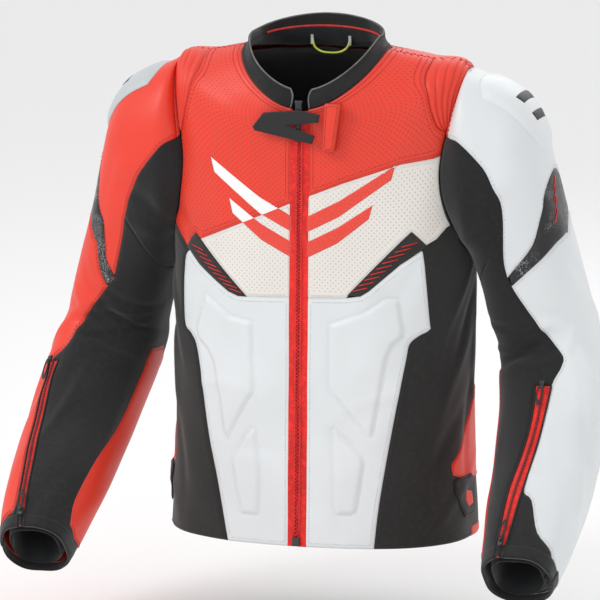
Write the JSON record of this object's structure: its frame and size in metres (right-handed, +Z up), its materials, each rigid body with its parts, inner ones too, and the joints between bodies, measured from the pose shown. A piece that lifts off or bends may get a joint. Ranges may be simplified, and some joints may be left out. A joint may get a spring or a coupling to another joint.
{
  "type": "leather riding jacket",
  "caption": "Short leather riding jacket with a stand-up collar, front zip, pre-bent sleeves, zipped cuffs, moulded shoulder cups and fold-out fastening tabs.",
  "frame": {"origin": "middle of the hanger that holds the jacket up, on the centre plane between the shoulder points", "axes": "+Z up, -Y the wearer's front, +X the wearer's left"},
  "size_m": [0.7856, 0.3918, 0.7257],
  "materials": {
    "red_leather": "grained, satin",
    "white_leather": "grained, satin",
    "black_leather": "grained, satin",
    "moulded_cup": "moulded, satin",
    "stretch_fabric": "woven stretch textile",
    "side_textile": "woven textile",
    "satin_lining": "satin",
    "armour_foam": "matt foam",
    "zip_tape": "woven tape with a moulded coil",
    "zip_metal": "satin black",
    "loop_cord": "woven cord"
  },
  "bodies": {
    "torso": {"collar": "stretch_fabric", "hanger_loop": "loop_cord", "back_upper": "red_leather", "back_stretch": "stretch_fabric", "back_lower": "white_leather", "back_protector": "armour_foam", "lining_back": "satin_lining", "zip_coil": "zip_tape", "zip_end_box": "zip_metal", "throat_flap": "red_leather", "trouser_zip": "zip_tape", "chest_left": "red_leather", "front_lower_left": "white_leather", "flank_left": "side_textile", "lining_front_left": "satin_lining", "shoulder_stretch_left": "red_leather", "armhole_left": "black_leather", "zip_tape_left": "zip_tape", "chest_right": "red_leather", "front_lower_right": "white_leather", "flank_right": "side_textile", "lining_front_right": "satin_lining", "shoulder_stretch_right": "red_leather", "armhole_right": "black_leather", "zip_tape_right": "zip_tape"},
    "main_slider": {"main_slider": "zip_metal"},
    "main_pull": {"main_pull": "zip_metal"},
    "throat_tab": {"throat_tab": "black_leather"},
    "upper_sleeve_left": {"upper_outer_left": "white_leather", "upper_inner_left": "stretch_fabric", "elbow_stretch_left": "stretch_fabric", "shoulder_cup_left": "moulded_cup", "shoulder_armour_left": "armour_foam", "lining_sleeve_left": "satin_lining"},
    "forearm_left": {"forearm_outer_left": "white_leather", "forearm_inner_left": "red_leather", "cuff_gusset_left": "black_leather", "cuff_zip_tape_left": "zip_tape", "elbow_armour_left": "armour_foam"},
    "waist_tab_left": {"waist_tab_left": "black_leather"},
    "cuff_slider_upper_left": {"cuff_slider_upper_left": "zip_metal"},
    "cuff_pull_upper_left": {"cuff_pull_upper_left": "zip_metal"},
    "cuff_slider_lower_left": {"cuff_slider_lower_left": "zip_metal"},
    "cuff_pull_lower_left": {"cuff_pull_lower_left": "zip_metal"},
    "upper_sleeve_right": {"upper_outer_right": "red_leather", "upper_inner_right": "stretch_fabric", "elbow_stretch_right": "stretch_fabric", "shoulder_cup_right": "moulded_cup", "shoulder_armour_right": "armour_foam", "lining_sleeve_right": "satin_lining"},
    "forearm_right": {"forearm_outer_right": "red_leather", "forearm_inner_right": "red_leather", "cuff_gusset_right": "black_leather", "cuff_zip_tape_right": "zip_tape", "elbow_armour_right": "armour_foam"},
    "waist_tab_right": {"waist_tab_right": "black_leather"},
    "cuff_slider_upper_right": {"cuff_slider_upper_right": "zip_metal"},
    "cuff_pull_upper_right": {"cuff_pull_upper_right": "zip_metal"},
    "cuff_slider_lower_right": {"cuff_slider_lower_right": "zip_metal"},
    "cuff_pull_lower_right": {"cuff_pull_lower_right": "zip_metal"}
  },
  "joints": [
    {"name": "main_zip_travel", "type": "slide", "parent": "torso", "child": "main_slider", "axis": [0, -0.0232, -0.9997], "range_m": [0, 0.545]},
    {"name": "main_pull_swing", "type": "hinge", "parent": "main_slider", "child": "main_pull", "pos_m": [0, -0.1262, -0.021], "axis": [0, 1, 0], "range_deg": [-20, 20]},
    {"name": "throat_tab_fold", "type": "hinge", "parent": "torso", "child": "throat_tab", "pos_m": [0.0315, -0.1299, -0.042], "axis": [0, 0, 1], "range_deg": [0, 80]},
    {"name": "shoulder_swing_left", "type": "hinge", "parent": "torso", "child": "upper_sleeve_left", "pos_m": [0.205, 0, -0.094], "axis": [-1, 0, 0], "range_deg": [-12, 25]},
    {"name": "elbow_flex_left", "type": "hinge", "parent": "upper_sleeve_left", "child": "forearm_left", "pos_m": [0.3025, 0.03, -0.349], "axis": [-1, 0, 0], "range_deg": [-15, 35], "deforming": ["elbow_stretch_left", "lining_sleeve_left"]},
    {"name": "waist_tab_fold_left", "type": "hinge", "parent": "torso", "child": "waist_tab_left", "pos_m": [0.2048, 0, -0.518], "axis": [0, 0, 1], "range_deg": [0, 60]},
    {"name": "cuff_zip_travel_upper_left", "type": "slide", "parent": "forearm_left", "child": "cuff_slider_upper_left", "axis": [0.0248, -0.6427, -0.7657], "range_m": [0, 0.055]},
    {"name": "cuff_pull_swing_upper_left", "type": "hinge", "parent": "cuff_slider_upper_left", "child": "cuff_pull_upper_left", "pos_m": [0.31642, -0.07435, -0.37292], "axis": [-0.9995, 0.0004, -0.0327], "range_deg": [0, 120]},
    {"name": "cuff_zip_travel_lower_left", "type": "slide", "parent": "forearm_left", "child": "cuff_slider_lower_left", "axis": [0.0312, 0.7305, 0.6822], "range_m": [0, 0.055]},
    {"name": "cuff_pull_swing_lower_left", "type": "hinge", "parent": "cuff_slider_lower_left", "child": "cuff_pull_lower_left", "pos_m": [0.30987, -0.25342, -0.54714], "axis": [0.9777, -0.1643, 0.1312], "range_deg": [0, 120]},
    {"name": "shoulder_swing_right", "type": "hinge", "parent": "torso", "child": "upper_sleeve_right", "pos_m": [-0.205, 0, -0.094], "axis": [-1, 0, 0], "range_deg": [-12, 25]},
    {"name": "elbow_flex_right", "type": "hinge", "parent": "upper_sleeve_right", "child": "forearm_right", "pos_m": [-0.3025, 0.03, -0.349], "axis": [-1, 0, 0], "range_deg": [-15, 35], "deforming": ["elbow_stretch_right", "lining_sleeve_right"]},
    {"name": "waist_tab_fold_right", "type": "hinge", "parent": "torso", "child": "waist_tab_right", "pos_m": [-0.2048, 0, -0.518], "axis": [0, 0, -1], "range_deg": [0, 60]},
    {"name": "cuff_zip_travel_upper_right", "type": "slide", "parent": "forearm_right", "child": "cuff_slider_upper_right", "axis": [0.0056, -0.686, -0.7276], "range_m": [0, 0.055]},
    {"name": "cuff_pull_swing_upper_right", "type": "hinge", "parent": "cuff_slider_upper_right", "child": "cuff_pull_upper_right", "pos_m": [-0.36804, -0.0646, -0.3786], "axis": [-0.8401, 0.3914, -0.3755], "range_deg": [0, 120]},
    {"name": "cuff_zip_travel_lower_right", "type": "slide", "parent": "forearm_right", "child": "cuff_slider_lower_right", "axis": [-0.1396, 0.7446, 0.6528], "range_m": [0, 0.055]},
    {"name": "cuff_pull_swing_lower_right", "type": "hinge", "parent": "cuff_slider_lower_right", "child": "cuff_pull_lower_right", "pos_m": [-0.34304, -0.254, -0.54628], "axis": [0.9826, 0.0227, 0.1842], "range_deg": [0, 120]}
  ]
}
